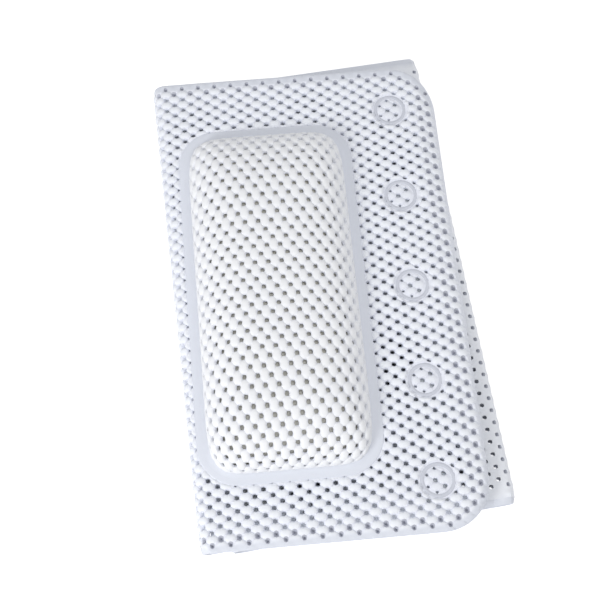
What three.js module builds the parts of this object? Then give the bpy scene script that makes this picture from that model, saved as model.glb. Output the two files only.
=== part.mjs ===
// A full-body bath mat of puffed foam with a built-in pillow and suction cups.
// It lies folded in four, to and fro: the head panel on top, then the back, the seat and the foot panel.
// Where the undersides meet, the suction cups of one panel lie between those of the other.
// Millimetres, +Z up. The head end is at +X, the mat's width runs along Y.

import * as THREE from 'three';

// Driving dimensions of the sheet
const matWidth = 400;
const sheetThickness = 6;
const cornerRadius = 40;
const headPanelLength = 224;
const backPanelLength = 225;
const seatPanelLength = 212;
const footPanelLength = 180;

// How the sheet is folded: each crease is slightly out of square with the mat
const headFoldSkewDegrees = 2.2;
const middleFoldSkewDegrees = 0;
const footFoldSkewDegrees = 0.5;
const topFacesGap = 2;
const cupTipClearance = 1.5;
const headEndClearance = 1.5;
const headEndNearDrop = 3;
const droopToCupGap = 1;

// Suction cups
const cupHeight = 8;
const cupFlangeRadius = 14;
const cupFlangeThickness = 1.5;
const cupNeckRadius = 6;
const cupNeckLength = 2;
const cupLipRadius = 16;
const cupLipThickness = 1;
const cupLipWidth = 3;
const cupHollowDepth = 2.5;
const cupsPerRow = 5;
const cupEdgeMargin = 40;
const endRowSetback = 40;
const facingRowClearance = 24;
const backRowPitch = 100;
const seatRowPitch = 110;
const foldRowSetback = 20;

// Pillow, with its length across the mat
const pillowLength = 302;
const pillowWidth = 146;
const pillowHeight = 26;
const pillowCornerRadius = 32;
const pillowToFold = 0.5;
const weldBandWidth = 8.5;
const weldBandThickness = 2;
const coverThickness = 4;
const crownPower = 3.2;
const crownRoot = 2;
const endRampRatio = 1.4;

// Puffs of the pillow's cover, with a hole between each four of them
const puffPitchX = 10.6;
const puffPitchY = 14;
const puffRelief = 1.9;

// Clearances between pieces that touch
const seatGap = 0.3;
const coreGap = 0.5;

// Mesh fineness
const cornerSteps = 4;
const droopSteps = 4;
const innerWidthSteps = 6;
const tailSteps = 3;
const stripSteps = 6;
const cupSides = 12;
const pillowCornerSteps = 4;
const flankInset = 0.03;
const puffedInset = 0.1;
const crownInsets = [flankInset, 0.09, 0.18, 0.32, 0.5, 0.7, 0.87];
const heightSearchSteps = 24;

// Worked out from the driving dimensions
const radians = THREE.MathUtils.degToRad;
const halfWidth = matWidth / 2;
const halfThickness = sheetThickness / 2;
const cupPitch = (matWidth - 2 * cupEdgeMargin) / (cupsPerRow - 1);
const undersidesGap = cupHeight + cupTipClearance;
const droopLength = endRowSetback - cupLipRadius - droopToCupGap;
const headEndFarDrop = undersidesGap - headEndClearance;
const splitAngle = Math.PI / 4;

// A fold is a half turn between two panels, hinged at two lines on its outer face.
// turn is 1 where the undersides meet inside it, and -1 where the top faces do.
function makeFold(innerGap, skewDegrees, turn) {
  const skew = radians(skewDegrees);
  const radius = innerGap / 2 + halfThickness;
  return {
    turn,
    radius,
    skew,
    flatLength: 2 * Math.SQRT2 * (radius + halfThickness),
    along: new THREE.Vector3(-Math.sin(skew), Math.cos(skew), 0),
    across: new THREE.Vector3(-Math.cos(skew), -Math.sin(skew), 0),
  };
}

const headFold = makeFold(undersidesGap, headFoldSkewDegrees, 1);
const middleFold = makeFold(topFacesGap, middleFoldSkewDegrees, -1);
const footFold = makeFold(undersidesGap, footFoldSkewDegrees, 1);

// A point on the sheet's middle surface inside a fold, with the normal of its top face.
// angle is 0 at the panel on the fold's +X side, and width is the place over the mat's width.
function foldPoint(fold, angle, width) {
  const run = fold.flatLength * angle / Math.PI;
  const along = (width + run * Math.sin(fold.skew)) / Math.cos(fold.skew);
  const point = fold.along.clone().multiplyScalar(along);
  point.addScaledVector(fold.across, fold.radius * Math.sin(angle));
  point.z = -fold.turn * fold.radius * (1 - Math.cos(angle));
  const normal = fold.across.clone().multiplyScalar(fold.turn * Math.sin(angle));
  normal.z = Math.cos(angle);
  const tangent = fold.across.clone().multiplyScalar(Math.cos(angle));
  tangent.z = -fold.turn * Math.sin(angle);
  return { point, normal, tangent };
}

// One closed body from a grid of points: grid[i][j] holds a top and a bottom point
function closedSheet(grid) {
  const rows = grid.length;
  const columns = grid[0].length;
  const positions = [];
  const indices = [];
  for (const side of ['top', 'bottom']) {
    for (const row of grid) {
      for (const cell of row) {
        positions.push(cell[side].x, cell[side].y, cell[side].z);
      }
    }
  }
  const bottomStart = rows * columns;
  const top = (i, j) => i * columns + j;
  const bottom = (i, j) => bottomStart + i * columns + j;
  const quad = (a, b, c, d) => indices.push(a, b, c, a, c, d);
  for (let i = 0; i < rows - 1; i += 1) {
    for (let j = 0; j < columns - 1; j += 1) {
      quad(top(i, j), top(i, j + 1), top(i + 1, j + 1), top(i + 1, j));
      quad(bottom(i, j), bottom(i + 1, j), bottom(i + 1, j + 1), bottom(i, j + 1));
    }
  }
  for (let i = 0; i < rows - 1; i += 1) {
    quad(top(i, 0), top(i + 1, 0), bottom(i + 1, 0), bottom(i, 0));
    quad(top(i + 1, columns - 1), top(i, columns - 1), bottom(i, columns - 1), bottom(i + 1, columns - 1));
  }
  for (let j = 0; j < columns - 1; j += 1) {
    quad(top(0, j + 1), top(0, j), bottom(0, j), bottom(0, j + 1));
    quad(top(rows - 1, j), top(rows - 1, j + 1), bottom(rows - 1, j + 1), bottom(rows - 1, j));
  }
  const geometry = new THREE.BufferGeometry();
  geometry.setAttribute('position', new THREE.Float32BufferAttribute(positions, 3));
  geometry.setIndex(indices);
  geometry.computeVertexNormals();
  return geometry;
}

// The sheet's two faces at a point of its middle surface
function bothFaces(point, normal) {
  return {
    top: point.clone().addScaledVector(normal, halfThickness),
    bottom: point.clone().addScaledVector(normal, -halfThickness),
  };
}

// Places over the mat's width, closer together where a free end's corner rounds off
function widthStations(hasRoundCorners) {
  if (!hasRoundCorners) {
    return [-halfWidth, halfWidth];
  }
  const straight = halfWidth - cornerRadius;
  const corner = [];
  for (let step = 1; step <= cornerSteps; step += 1) {
    corner.push(straight + cornerRadius * Math.sin(step * Math.PI / 2 / cornerSteps));
  }
  const inner = [];
  for (let step = 0; step <= innerWidthSteps; step += 1) {
    inner.push(-straight + 2 * straight * step / innerWidthSteps);
  }
  return [...corner.map((place) => -place).reverse(), ...inner, ...corner];
}

// How far a free end stands back at a place over the width, because its corners are round
function cornerSetback(width) {
  const into = Math.max(0, Math.abs(width) - (halfWidth - cornerRadius));
  return cornerRadius - Math.sqrt(Math.max(0, cornerRadius ** 2 - into ** 2));
}

// The tail of a panel that runs into a fold, from the panel out to the hinge line.
// side is -1 where the fold is at the panel's -X end and 1 at its +X end.
function foldTail(fold, side, lineX) {
  const stations = [];
  for (let step = 0; step <= tailSteps; step += 1) {
    const angle = splitAngle * step / tailSteps;
    stations.push((width) => {
      const { point, normal, tangent } = foldPoint(fold, angle, -side * width);
      if (step === tailSteps) {
        point.addScaledVector(tangent, -seatGap / 2);
      }
      const mirror = -side;
      point.set(mirror * point.x + lineX, mirror * point.y, point.z);
      normal.set(mirror * normal.x, mirror * normal.y, normal.z);
      return bothFaces(point, normal);
    });
  }
  return stations;
}

// A free end of a panel: plain lines over the width, bent down by drop near the end
function freeEnd(side, endX, steps, reach, drop) {
  const stations = [];
  for (let step = 0; step <= steps; step += 1) {
    const setIn = steps === 0 ? 0 : reach * step / steps;
    stations.push((width) => {
      const setback = cornerSetback(width);
      const fromEnd = setback + setIn * (1 - setback / (2 * cornerRadius));
      const point = new THREE.Vector3(endX - side * fromEnd, width, -drop(fromEnd, width));
      return bothFaces(point, new THREE.Vector3(0, 0, 1));
    });
  }
  return stations;
}

// The head end bends down towards the panel below, most of all at its far corner
function headDrop(fromEnd, width) {
  const bend = Math.max(0, 1 - fromEnd / droopLength);
  const farShare = THREE.MathUtils.smoothstep(width, -halfWidth, halfWidth);
  return THREE.MathUtils.lerp(headEndNearDrop, headEndFarDrop, farShare) * bend ** 2;
}

const noDrop = () => 0;

// stations runs from the panel's +X end to its -X end
function panelSheet(stations, hasRoundCorners) {
  const widths = widthStations(hasRoundCorners).reverse();
  const grid = stations.map((station) => widths.map((width) => station(width)));
  return closedSheet(grid.reverse());
}

// The strip of sheet between a fold's two hinge lines
function foldStrip(fold) {
  const grid = [];
  for (let step = 0; step <= stripSteps; step += 1) {
    const angle = splitAngle + (Math.PI - 2 * splitAngle) * step / stripSteps;
    const row = widthStations(false).reverse().map((width) => {
      const { point, normal, tangent } = foldPoint(fold, angle, width);
      if (step === 0) {
        point.addScaledVector(tangent, seatGap / 2);
      }
      if (step === stripSteps) {
        point.addScaledVector(tangent, -seatGap / 2);
      }
      return bothFaces(point, normal);
    });
    grid.push(row);
  }
  return closedSheet(grid.reverse());
}

// One suction cup, hanging from the sheet's underside at z = 0
function suctionCup() {
  const neckEnd = cupFlangeThickness + cupNeckLength;
  const profile = [
    [0, -cupHeight + cupHollowDepth],
    [cupLipRadius - cupLipWidth, -cupHeight],
    [cupLipRadius, -cupHeight],
    [cupLipRadius, -cupHeight + cupLipThickness],
    [cupNeckRadius, -neckEnd],
    [cupNeckRadius, -cupFlangeThickness],
    [cupFlangeRadius, -cupFlangeThickness],
    [cupFlangeRadius, -seatGap],
    [0, -seatGap],
  ];
  const points = profile.map(([radius, height]) => new THREE.Vector2(radius, height));
  const cup = new THREE.LatheGeometry(points, cupSides);
  cup.rotateX(Math.PI / 2);
  return cup;
}

// A rounded rectangle, lying flat, as a ring of points
function roundedRing(halfX, halfY, radius, height) {
  const ring = [];
  const quarters = [[1, 1], [-1, 1], [-1, -1], [1, -1]];
  quarters.forEach(([signX, signY], quarter) => {
    for (let step = 0; step <= pillowCornerSteps; step += 1) {
      const angle = (quarter + step / pillowCornerSteps) * Math.PI / 2;
      const x = signX * (halfX - radius) + radius * Math.cos(angle);
      const y = signY * (halfY - radius) + radius * Math.sin(angle);
      ring.push(new THREE.Vector3(x, y, height));
    }
  });
  return ring;
}

// A dome's outline at a share of the way from its foot to its crown. The foot is set in from the weld band.
// The corners round off more and more towards the crown, and the two ends rise more slowly than the sides.
function domeOutline(setIn, share) {
  const halfX = pillowWidth / 2 - weldBandWidth - setIn;
  const halfY = pillowLength / 2 - weldBandWidth - setIn;
  const footRadius = pillowCornerRadius - weldBandWidth - setIn;
  const inset = halfX * share;
  return {
    halfX: halfX - inset,
    halfY: halfY - inset * endRampRatio,
    radius: THREE.MathUtils.lerp(footRadius, halfX, share) * (1 - share),
  };
}

function crownRise(share) {
  return (1 - (1 - share) ** crownPower) ** (1 / crownRoot);
}

// The rings of a dome, from its foot to near its crown
function domeRings(setIn, base, height) {
  return [0, ...crownInsets].map((share) => {
    const { halfX, halfY, radius } = domeOutline(setIn, share);
    return roundedRing(halfX, halfY, radius, base + height * crownRise(share));
  });
}

// The place on an outline's core, which is its radius away from it, that is nearest to (x, y), and the way on
function fromCore({ halfX, halfY, radius }, x, y) {
  const core = new THREE.Vector2(
    THREE.MathUtils.clamp(x, radius - halfX, halfX - radius),
    THREE.MathUtils.clamp(y, radius - halfY, halfY - radius),
  );
  return { core, way: new THREE.Vector2(x, y).sub(core) };
}

// How far (x, y) is on its way from the foot to the crown of the cover's outer face
function shareAt(x, y) {
  let [low, high] = [0, 1];
  for (let step = 0; step < heightSearchSteps; step += 1) {
    const share = (low + high) / 2;
    const outline = domeOutline(0, share);
    if (fromCore(outline, x, y).way.length() <= outline.radius) {
      low = share;
    } else {
      high = share;
    }
  }
  return low;
}

// The cover's puffed face: puffs and holes take turns on a grid, and each groove runs from hole to hole.
// Its border lies on the plain flank, and its edge lists the border's points in order.
function puffedFace(base, height) {
  const limit = domeOutline(0, puffedInset);
  const flank = domeOutline(0, flankInset);
  const stepsX = Math.floor(limit.halfX / (puffPitchX / 2));
  const stepsY = Math.floor(limit.halfY / (puffPitchY / 2));
  const isHole = (i, j) => (i + j) % 2 === 0;
  const number = (i, j) => (i + stepsX) * (2 * stepsY + 1) + j + stepsY;
  const points = [];
  const triangles = [];
  for (let i = -stepsX; i <= stepsX; i += 1) {
    for (let j = -stepsY; j <= stepsY; j += 1) {
      const { core, way } = fromCore(limit, i * puffPitchX / 2, j * puffPitchY / 2);
      const { x, y } = core.add(way.clampLength(0, limit.radius));
      const relief = isHole(i, j) ? puffRelief : 0;
      points.push(new THREE.Vector3(x, y, base + height * crownRise(shareAt(x, y)) - relief));
    }
  }
  for (let i = -stepsX; i < stepsX; i += 1) {
    for (let j = -stepsY; j < stepsY; j += 1) {
      const corners = [number(i, j), number(i + 1, j), number(i + 1, j + 1), number(i, j + 1)];
      const [a, b, c, d] = isHole(i, j) ? corners : [...corners.slice(1), corners[0]];
      triangles.push([a, b, c], [a, c, d]);
    }
  }
  const outermost = [];
  for (let i = -stepsX; i < stepsX; i += 1) {
    outermost.push(number(i, -stepsY));
  }
  for (let j = -stepsY; j < stepsY; j += 1) {
    outermost.push(number(stepsX, j));
  }
  for (let i = stepsX; i > -stepsX; i -= 1) {
    outermost.push(number(i, stepsY));
  }
  for (let j = stepsY; j > -stepsY; j -= 1) {
    outermost.push(number(-stepsX, j));
  }
  const edge = outermost.map((index, k) => points.length + k);
  for (const index of outermost) {
    const { core, way } = fromCore(flank, points[index].x, points[index].y);
    const { x, y } = core.add(way.setLength(flank.radius));
    points.push(new THREE.Vector3(x, y, base + height * crownRise(flankInset)));
  }
  outermost.forEach((index, k) => {
    const next = (k + 1) % outermost.length;
    triangles.push([edge[k], edge[next], outermost[next]], [edge[k], outermost[next], index]);
  });
  return { points, triangles, edge };
}

// The triangles between a ring and the edge of what closes it, which run the same way round.
// The shorter way across comes first. The edge may be a single point.
function joined(ring, edge, points) {
  const distance = (a, b) => points[a].distanceTo(points[b]);
  const start = edge.reduce((best, index, k) => (
    distance(ring[0], index) < distance(ring[0], edge[best]) ? k : best
  ), 0);
  const inner = [...edge.slice(start), ...edge.slice(0, start)];
  const innerSteps = inner.length > 1 ? inner.length : 0;
  const triangles = [];
  let [i, j] = [0, 0];
  while (i < ring.length || j < innerSteps) {
    const [here, nextHere] = [ring[i % ring.length], ring[(i + 1) % ring.length]];
    const [there, nextThere] = [inner[j % inner.length], inner[(j + 1) % inner.length]];
    const ringFirst = i < ring.length && distance(nextHere, there) <= distance(here, nextThere);
    if (ringFirst || j === innerSteps) {
      triangles.push([here, nextHere, there]);
      i += 1;
    } else {
      triangles.push([here, nextThere, there]);
      j += 1;
    }
  }
  return triangles;
}

// What closes a ring with a plain fan
function pointEnd(x, y, z) {
  return { points: [new THREE.Vector3(x, y, z)], triangles: [], edge: [0] };
}

// One closed body from rings that are joined in order, with what closes its first and last ring
function closedRings(rings, startEnd, lastEnd) {
  const points = rings.flat();
  const triangles = [];
  const count = rings[0].length;
  for (let i = 0; i < rings.length - 1; i += 1) {
    for (let j = 0; j < count; j += 1) {
      const next = (j + 1) % count;
      const [a, b] = [i * count + j, i * count + next];
      const [c, d] = [(i + 1) * count + next, (i + 1) * count + j];
      triangles.push([a, b, c], [a, c, d]);
    }
  }
  const close = (end, ringStart, isTurned) => {
    const first = points.length;
    points.push(...end.points);
    const ring = Array.from({ length: count }, (_, k) => ringStart + k);
    const own = end.triangles.map((corners) => corners.map((k) => first + k));
    const edge = end.edge.map((k) => first + k);
    for (const [a, b, c] of [...own, ...joined(ring, edge, points)]) {
      triangles.push(isTurned ? [a, c, b] : [a, b, c]);
    }
  };
  close(startEnd, 0, true);
  close(lastEnd, (rings.length - 1) * count, false);
  const positions = points.flatMap(({ x, y, z }) => [x, y, z]);
  const geometry = new THREE.BufferGeometry();
  geometry.setAttribute('position', new THREE.Float32BufferAttribute(positions, 3));
  geometry.setIndex(triangles.flat());
  geometry.computeVertexNormals();
  return geometry;
}

// The pillow's cover: a domed, puffed shell, open below, on a flat weld band
function pillowCover() {
  const base = halfThickness + seatGap;
  const bandTop = base + weldBandThickness;
  const outerHeight = pillowHeight - weldBandThickness;
  const innerHeight = pillowHeight - coverThickness;
  const inner = domeRings(coverThickness, base, innerHeight);
  const [foot] = domeRings(0, bandTop, outerHeight);
  const band = (height) => roundedRing(pillowWidth / 2, pillowLength / 2, pillowCornerRadius, height);
  const rings = [...inner.reverse(), band(base), band(bandTop), foot];
  return closedRings(rings, pointEnd(0, 0, base + innerHeight), puffedFace(bandTop, outerHeight));
}

// The pillow's foam core, filling the cover
function pillowCore() {
  const base = halfThickness + seatGap;
  const height = pillowHeight - coverThickness - coreGap;
  const rings = domeRings(coverThickness + coreGap, base, height);
  return closedRings(rings, pointEnd(0, 0, base), pointEnd(0, 0, base + height));
}

// Materials
const foam = new THREE.MeshStandardMaterial({ color: 0xf3f4f8, roughness: 0.6, metalness: 0 });
const softCore = new THREE.MeshStandardMaterial({ color: 0xe6dfb9, roughness: 0.9, metalness: 0 });
const clearVinyl = new THREE.MeshStandardMaterial({ color: 0xe6ebee, roughness: 0.25, metalness: 0 });

function addPiece(group, name, geometry, material, x, y) {
  const mesh = new THREE.Mesh(geometry, material);
  mesh.name = name;
  mesh.position.set(x, y, 0);
  group.add(mesh);
  return mesh;
}

// A row of cups across the mat, under the panel that the group holds
function addCupRow(group, rowName, x) {
  for (let cup = 0; cup < cupsPerRow; cup += 1) {
    const y = (cup - (cupsPerRow - 1) / 2) * cupPitch;
    const mesh = addPiece(group, `${rowName}_${cup + 1}`, suctionCup(), clearVinyl, x, y);
    mesh.position.z = -halfThickness;
  }
}

// A group that carries the panel beyond a fold, laid out flat and turned half a turn about the fold.
// lineX is where the fold starts on the panel before it.
function turnedGroup(parent, fold, lineX) {
  const group = new THREE.Group();
  const centre = fold.across.clone().multiplyScalar(fold.flatLength / 2);
  centre.x += lineX;
  centre.z = -fold.turn * fold.radius;
  group.quaternion.setFromAxisAngle(fold.along, Math.PI);
  group.position.copy(centre).sub(centre.clone().applyQuaternion(group.quaternion));
  parent.add(group);
  return group;
}

// Head panel, with the pillow on it
const bathMat = new THREE.Group();
const headFoldX = 0;
const headEndX = headFoldX + headPanelLength;
const headSheet = panelSheet(
  [
    ...freeEnd(1, headEndX, droopSteps, droopLength, headDrop),
    ...foldTail(headFold, -1, headFoldX),
  ],
  true,
);
addPiece(bathMat, 'head_sheet', headSheet, foam, 0, 0);
const pillowX = headFoldX + pillowToFold + pillowWidth / 2;
addPiece(bathMat, 'pillow_cover', pillowCover(), foam, pillowX, 0);
addPiece(bathMat, 'pillow_core', pillowCore(), softCore, pillowX, 0);
const headRowX = headEndX - endRowSetback;
addCupRow(bathMat, 'head_cup', headRowX);
addPiece(bathMat, 'head_fold', foldStrip(headFold), foam, headFoldX, 0);

// A panel between two folds, laid out flat from its +X end and turned under the panel before it
function innerPanel(parent, name, before, beforeX, after, length) {
  const group = turnedGroup(parent, before, beforeX);
  const startX = beforeX - before.flatLength / Math.cos(before.skew);
  const endX = startX - length;
  const sheet = panelSheet([...foldTail(before, 1, startX).reverse(), ...foldTail(after, -1, endX)], false);
  addPiece(group, name, sheet, foam, 0, 0);
  return { group, startX, endX };
}

// Back panel: its cup rows lie beside the head panel's row when the mat is folded
const back = innerPanel(bathMat, 'back_sheet', headFold, headFoldX, middleFold, backPanelLength);
const facingRowOffset = 2 * cupLipRadius + facingRowClearance;
const backRowX = back.startX - (headRowX - headFoldX - facingRowOffset);
addCupRow(back.group, 'back_cup_a', backRowX + backRowPitch);
addCupRow(back.group, 'back_cup_b', backRowX);
addPiece(back.group, 'middle_fold', foldStrip(middleFold), foam, back.endX, 0);

// Seat panel: its two cup rows lie on either side of the foot panel's last row
const seat = innerPanel(back.group, 'seat_sheet', middleFold, back.endX, footFold, seatPanelLength);
const footRowFromFold = footPanelLength - endRowSetback;
const footRowPitch = footRowFromFold - foldRowSetback;
const seatRowX = seat.endX + footRowFromFold + (seatRowPitch - footRowPitch / 2);
addCupRow(seat.group, 'seat_cup_a', seatRowX);
addCupRow(seat.group, 'seat_cup_b', seatRowX - seatRowPitch);
addPiece(seat.group, 'foot_fold', foldStrip(footFold), foam, seat.endX, 0);

// Foot panel, with the mat's other free end
const footGroup = turnedGroup(seat.group, footFold, seat.endX);
const footStartX = seat.endX - footFold.flatLength / Math.cos(footFold.skew);
const footEndX = footStartX - footPanelLength;
const footSheet = panelSheet(
  [
    ...foldTail(footFold, 1, footStartX).reverse(),
    ...freeEnd(-1, footEndX, 0, 0, noDrop),
  ],
  true,
);
addPiece(footGroup, 'foot_sheet', footSheet, foam, 0, 0);
const footRowX = footStartX - footRowFromFold;
addCupRow(footGroup, 'foot_cup_a', footRowX + footRowPitch);
addCupRow(footGroup, 'foot_cup_b', footRowX);

// The folded mat lies on the foot panel's top face, with the origin under the middle of its box
bathMat.updateMatrixWorld(true);
const box = new THREE.Box3().setFromObject(bathMat, true);
const middle = box.getCenter(new THREE.Vector3());
bathMat.position.set(-middle.x, -middle.y, -box.min.z);

export default bathMat;
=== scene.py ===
import math
from collections import namedtuple

import bmesh
import bpy
import numpy as np
from bpy.props import FloatProperty, FloatVectorProperty, IntProperty, PointerProperty
from mathutils import Matrix, Vector


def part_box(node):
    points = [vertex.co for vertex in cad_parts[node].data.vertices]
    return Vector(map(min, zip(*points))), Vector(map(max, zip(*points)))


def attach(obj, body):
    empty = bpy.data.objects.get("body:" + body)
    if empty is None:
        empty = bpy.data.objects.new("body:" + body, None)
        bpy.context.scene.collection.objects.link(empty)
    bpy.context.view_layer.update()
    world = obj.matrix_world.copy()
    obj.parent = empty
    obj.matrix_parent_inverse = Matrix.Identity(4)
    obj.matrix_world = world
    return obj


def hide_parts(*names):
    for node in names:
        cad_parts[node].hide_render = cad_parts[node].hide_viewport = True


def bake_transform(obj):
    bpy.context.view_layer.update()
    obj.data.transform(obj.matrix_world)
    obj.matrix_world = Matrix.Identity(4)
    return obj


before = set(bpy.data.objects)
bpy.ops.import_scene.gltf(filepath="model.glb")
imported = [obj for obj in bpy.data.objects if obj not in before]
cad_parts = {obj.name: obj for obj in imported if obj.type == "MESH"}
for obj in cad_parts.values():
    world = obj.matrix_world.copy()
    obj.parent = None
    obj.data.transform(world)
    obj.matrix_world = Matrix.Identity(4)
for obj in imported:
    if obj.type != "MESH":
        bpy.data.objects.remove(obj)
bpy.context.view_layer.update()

bl_info = {
    "name": "Bath mat with pillow",
    "version": (1, 0, 0),
    "blender": (4, 5, 0),
    "location": "View3D > Sidebar > Bath Mat",
    "description": "Dresses a folded, puffed-foam bath mat with a built-in pillow and suction cups",
    "category": "Object",
}

HEAD_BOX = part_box("head_sheet")
PILLOW_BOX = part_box("pillow_cover")
MM = 0.001
# points closer than this are one point: where puffs meet, and along the foam's rim
SEAM = 1e-5
RIM_GAP = 0.02 * MM
# share of a hole's width within which points belong to that hole
HOLE_REACH = 0.72
# rings of points between a puff's edge and its crown: how far in, and how far up
PUFF_RINGS = ((0.22, 0.56), (0.55, 0.92))
# studio lamps: name, place, width of the disc and share of the key light's power
LAMPS = (("key", (-1.06, -0.98, 0.86), 0.5, 1.0), ("top", (0.60, 0.10, 1.40), 1.2, 0.45))


def length(name, description, default):
    """A size in metres that the sidebar shows in the scene's own unit."""
    return FloatProperty(
        name=name, description=description, default=default, min=0.0, unit="LENGTH", precision=5)


def amount(name, description, default, low=0.0):
    """A plain number, such as a power, a share or a strength."""
    return FloatProperty(name=name, description=description, default=default, min=low)


def angle(name, description, degrees):
    """An angle that the sidebar shows in degrees."""
    return FloatProperty(
        name=name, description=description, default=math.radians(degrees), subtype="ANGLE")


def hex_colour(name, description, code):
    """A colour that the sidebar shows as a swatch, from an sRGB hex value."""
    return FloatVectorProperty(
        name=name, description=description, subtype="COLOR", size=3, min=0, max=1,
        default=linear(code))


def linear(code):
    """sRGB hex, such as F2F4F7, to linear red, green and blue."""
    parts = [int(code[i:i + 2], 16) / 255 for i in (0, 2, 4)]
    return tuple(c / 12.92 if c <= 0.04045 else ((c + 0.055) / 1.055) ** 2.4 for c in parts)


class MatSizes(bpy.types.PropertyGroup):
    """Sizes of the foam sheet and of how it is folded."""

    width: length("Width", "Width of the mat across the bath", 0.400)
    corner: length("Corner radius", "Radius of the mat's four corners", 0.040)
    thickness: length("Thickness", "Foam from underside to the crown of a puff", 0.006)
    head: length("Head panel", "Length of the panel under the pillow", 0.224)
    back: length("Back panel", "Length of the second panel", 0.225)
    seat: length("Seat panel", "Length of the third panel", 0.212)
    foot: length("Foot panel", "Length of the last panel", 0.180)
    outer_bend: length("Outer bend", "Radius of the head and foot folds at the foam's middle", 0.00775)
    inner_bend: length("Inner bend", "Radius of the middle fold at the foam's middle", 0.004)
    head_slant: angle("Head fold slant", "How far the head fold is off square", 2.2)
    foot_slant: angle("Foot fold slant", "How far the foot fold is off square", 0.5)
    droop_length: length("Droop length", "How much of the head end hangs down", 0.023)
    droop_near: length("Near droop", "How far the head end hangs at the near corner", 0.003)
    droop_far: length("Far droop", "How far the head end hangs at the far corner", 0.008)


class FoamSizes(bpy.types.PropertyGroup):
    """Sizes of the puffs, holes and pressed places of the foam."""

    pitch_along: length("Pitch along", "Holes along the mat, from one to the next", 0.0139642)
    pitch_across: length("Pitch across", "Holes across the mat, from one to the next", 0.010)
    hole: length("Hole", "Width of a hole on the puffed side", 0.0041)
    under_hole: amount("Hole underneath", "Width of a hole underneath, as a share of the top", 0.84, 0.1)
    groove: length("Groove", "Height of the groove between two puffs over the foam's middle", 0.0015)
    rim: length("Hole rim", "Height of a hole's rim over the foam's middle", 0.0013)
    hem: length("Hem", "Width of the pressed hem", 0.0085)
    hem_thickness: length("Hem thickness", "Thickness of the pressed hem", 0.0030)
    ring_outer: length("Weld ring, outer", "Outer radius of a cup's weld ring", 0.0143)
    ring_inner: length("Weld ring, inner", "Inner radius of a cup's weld ring", 0.0104)
    ring_height: length("Weld ring, height", "Top of a cup's weld ring over the foam's middle", 0.0011)
    closed: length("Closed holes", "How far from the edge the holes are closed underneath", 0.014)


class PillowSizes(bpy.types.PropertyGroup):
    """Sizes of the pillow and its weld band."""

    along: length("Size along", "Pillow's size along the mat, weld band included", 0.146)
    across: length("Size across", "Pillow's size across the mat, weld band included", 0.302)
    corner: length("Corner radius", "Radius of the weld band's corners", 0.032)
    band: length("Weld band", "Width of the flat weld band", 0.0085)
    band_height: length("Band height", "Top of the weld band over the foam's middle", 0.0021)
    to_fold: length("Gap to the fold", "From the weld band to where the head fold starts", 0.0005)
    cover: length("Cover thickness", "Puffed cover, from its inside to the crown of a puff", 0.0044)
    roundness: amount("Corner squareness", "Power of the curve that rounds the dome's ends", 7.0, 2.0)
    swell: amount("Swell", "Power that flattens the dome's top", 3.2, 1.0)
    flank: amount("Flank", "Root that makes the dome's sides steep", 1.7, 1.0)
    end_ramp: amount("End ramp", "How much longer the dome rises at its ends than its sides", 1.4, 1.0)
    stretch: amount("Stretch", "How far forming stretched the cover's foam", 1.06, 1.0)


class CupSizes(bpy.types.PropertyGroup):
    """Sizes of a suction cup and of the rows that the cups stand in."""

    height: length("Height", "From the foam to the lip", 0.008)
    flange: length("Flange radius", "Radius of the disc that is welded to the foam", 0.014)
    flange_thickness: length("Flange thickness", "Thickness of that disc", 0.0015)
    neck: length("Neck radius", "Radius of the neck", 0.006)
    neck_length: length("Neck length", "Length of the neck", 0.002)
    lip: length("Lip radius", "Radius of the lip", 0.016)
    hollow: length("Hollow", "Depth of the hollow inside the lip", 0.0025)
    per_row: IntProperty(name="Cups in a row", description="Cups across the mat", default=5, min=2)
    margin: length("Edge margin", "From the mat's edge to the first cup's middle", 0.040)
    setback: length("End setback", "From the mat's ends to the nearest row", 0.040)
    fold_setback: length("Fold setback", "From the foot fold to the nearest row", 0.020)
    facing_gap: length("Facing gap", "From the head row's lips to the back row's, when folded", 0.024)
    back_pitch: length("Back pitch", "Between the two rows under the back panel", 0.100)
    seat_pitch: length("Seat pitch", "Between the two rows under the seat panel", 0.110)


class MatColours(bpy.types.PropertyGroup):
    """Colours of the mat's materials."""

    foam: hex_colour("Foam", "Crown of a puff on the mat", "F1F4FA")
    cover: hex_colour("Cover foam", "Crown of a puff on the pillow", "F5F6F8")
    # painted shade: grey painted on the walls of closed holes, where shade falls in them, and in part on
    # the weld rings as their shade
    grey: hex_colour("Greyed foam", "Walls of closed holes, and in part the weld rings", "BEC1CC")
    # painted shade: a darker, bluer colour painted into the grooves between the puffs, where shade falls
    groove_painted_shade: hex_colour("Foam in the grooves", "Foam between the puffs", "E6E9F3")
    weld: hex_colour("Pressed foam", "Hem, weld rings and weld band", "DEE2EC")
    core: hex_colour("Core foam", "Foam block inside the pillow", "E2E0D5")
    cup: hex_colour("Cup vinyl", "Suction cups", "EEF2F5")
    floor: hex_colour("Floor", "Floor under the mat", "FAFAFA")


class StageSettings(bpy.types.PropertyGroup):
    """Where the camera stands, and the studio light."""

    elevation: angle("Elevation", "Camera over the horizon", 71.173)
    azimuth: angle("Azimuth", "Camera's heading off the mat's width", 7.985)
    roll: angle("Roll", "Camera's tilt", 2.867)
    distance: length("Distance", "From the camera to what it looks at", 0.93562)
    focal: amount("Focal length", "Camera lens in millimetres", 69.243, 1.0)
    target: FloatVectorProperty(
        name="Target", description="Point that the camera looks at",
        default=(-0.02259, -0.01387, 0.042), subtype="XYZ")
    key: amount("Key light", "Key light's power in watts", 12.5)
    fill: amount("Fill light", "Strength of the studio's even light", 0.52)
    floor_glow: amount("Floor glow", "How far the floor is lifted to white for the camera", 0.48)


Fold = namedtuple("Fold", "line slant radius reach turn")


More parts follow.
